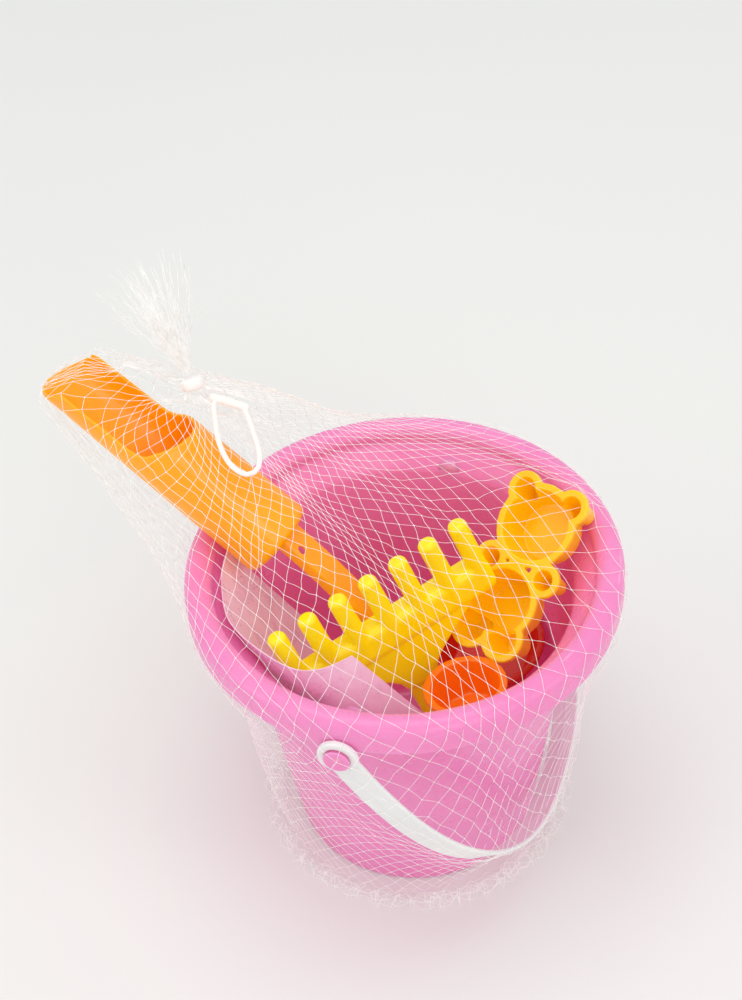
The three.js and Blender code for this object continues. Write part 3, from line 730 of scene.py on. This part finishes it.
def make_tuft():
    """The gathered ends of the net: crinkled strands that fan out above the seal."""
    chance = random.Random(11)
    tubes = Tubes()
    side = NECK_WAY.orthogonal().normalized()
    other = NECK_WAY.cross(side)
    base = NECK + NECK_WAY * (6.5 * MM)
    for k in range(TUFT_STRANDS):
        turn, lean = chance.uniform(0, 2 * math.pi), abs(chance.gauss(0.0, 0.3))
        way = TUFT_WAY + (side * math.cos(turn) + other * math.sin(turn)) * min(lean, 0.5)
        reach = chance.uniform(22, 54) * MM
        crinkle, phase = chance.uniform(0.6, 1.7) * MM, chance.uniform(0, 6)
        line = []
        for step in range(13):
            t = step / 12
            wave = side * math.sin(phase + 14 * t) + other * math.cos(1.3 * phase + 11 * t)
            line.append(base + way * (reach * t) + wave * (crinkle * min(1, 3 * t)))
        tubes.tube(line, THREAD * 0.85)
        for step in (4, 8, 11):
            tubes.knot(line[step], KNOT * 0.75, way)
        if k % 2:
            across = base + way * (reach * 0.6) + side * (chance.gauss(0, 4) * MM)
            tubes.tube([line[5], across, line[9]], THREAD * 0.7)
    add_object("net_ends", tubes.mesh("net_ends"), THREADS, "net", "net_white", "net_tuft")


# ---- floor, light and camera ------------------------------------------------------------------

def make_stage():
    points = [(-6, -6, 0), (6, -6, 0), (6, 9, 0), (-6, 9, 0)]
    floor = bpy.data.objects.new("floor", mesh_of("floor", points, [(0, 1, 2, 3)]))
    floor.data.materials.append(floor_material())
    bpy.context.scene.collection.objects.link(floor)


def area_light(name, place, size, power):
    """A round lamp that faces the middle of the bucket."""
    light = bpy.data.lights.new(name, "AREA")
    light.shape = "DISK"
    light.size = size
    light.energy = power
    made = bpy.data.objects.new(name, light)
    made.location = place
    aim = Vector((0, 0, 0.1)) - Vector(place)
    made.rotation_euler = aim.to_track_quat("-Z", "Y").to_euler()
    bpy.context.scene.collection.objects.link(made)


def make_lights():
    world = bpy.data.worlds.new("studio")
    bpy.context.scene.world = world
    world.use_nodes = True
    sky = world.node_tree.nodes["Background"]
    sky.inputs["Color"].default_value = (1.0, 1.0, 1.0, 1)
    sky.inputs["Strength"].default_value = 0.74
    area_light("overhead", (-0.1, 0.1, 1.9), 1.3, 7.5)
    area_light("front", (0.5, -1.6, 1.3), 0.9, 4.5)
    area_light("left", (-1.5, -0.4, 1.0), 0.8, 2.5)
    area_light("right", (1.5, -0.8, 1.1), 0.8, 2.5)


def make_camera():
    camera = bpy.data.cameras.new("camera")
    camera.lens = 64.8
    camera.sensor_width = 36
    camera.clip_end = 40
    made = bpy.data.objects.new("camera", camera)
    bpy.context.scene.collection.objects.link(made)
    tilt, roll = math.radians(43.92), math.radians(4.757)
    level = Vector((1, 0, 0))
    up = Vector((0, math.sin(tilt), math.cos(tilt)))
    right = level * math.cos(roll) - up * math.sin(roll)
    top = level * math.sin(roll) + up * math.cos(roll)
    back = Vector((0, -math.cos(tilt), math.sin(tilt)))
    place = Matrix((right, top, back)).transposed().to_4x4()
    place.translation = (-0.01173, -0.55061, 0.72706)
    made.matrix_world = place
    bpy.context.scene.camera = made
    bpy.context.scene.view_settings.view_transform = "Standard"


make_camera()
make_stage()
make_lights()
make_bucket()
make_bail()
make_card()
moulded("scoop_body", "scoop", ORANGE, "scoop_toy", "scoop_orange", 0.55, 14)
moulded("rake_body", "rake", YELLOW, "rake_toy", "toy_yellow", 0.6, 12)
moulded("figure_body", "figure_mould", GOLD, "figure_toy", "toy_yellow", 0.5, 10)
moulded("red_round", "red_mould", RED, "red_toy", "mould_red", 0.6, 12)
moulded("orange_round", "orange_mould", DEEP_ORANGE, "orange_toy", "mould_orange", 0.5, 12)
moulded("seal_crimp", "neck_seal", CLIP, "net", "clip_white", 0.3, 8)
moulded("loop_cord", "hang_loop", CLIP, "net", "clip_white", 0.3, 10)
make_net()
make_tuft()
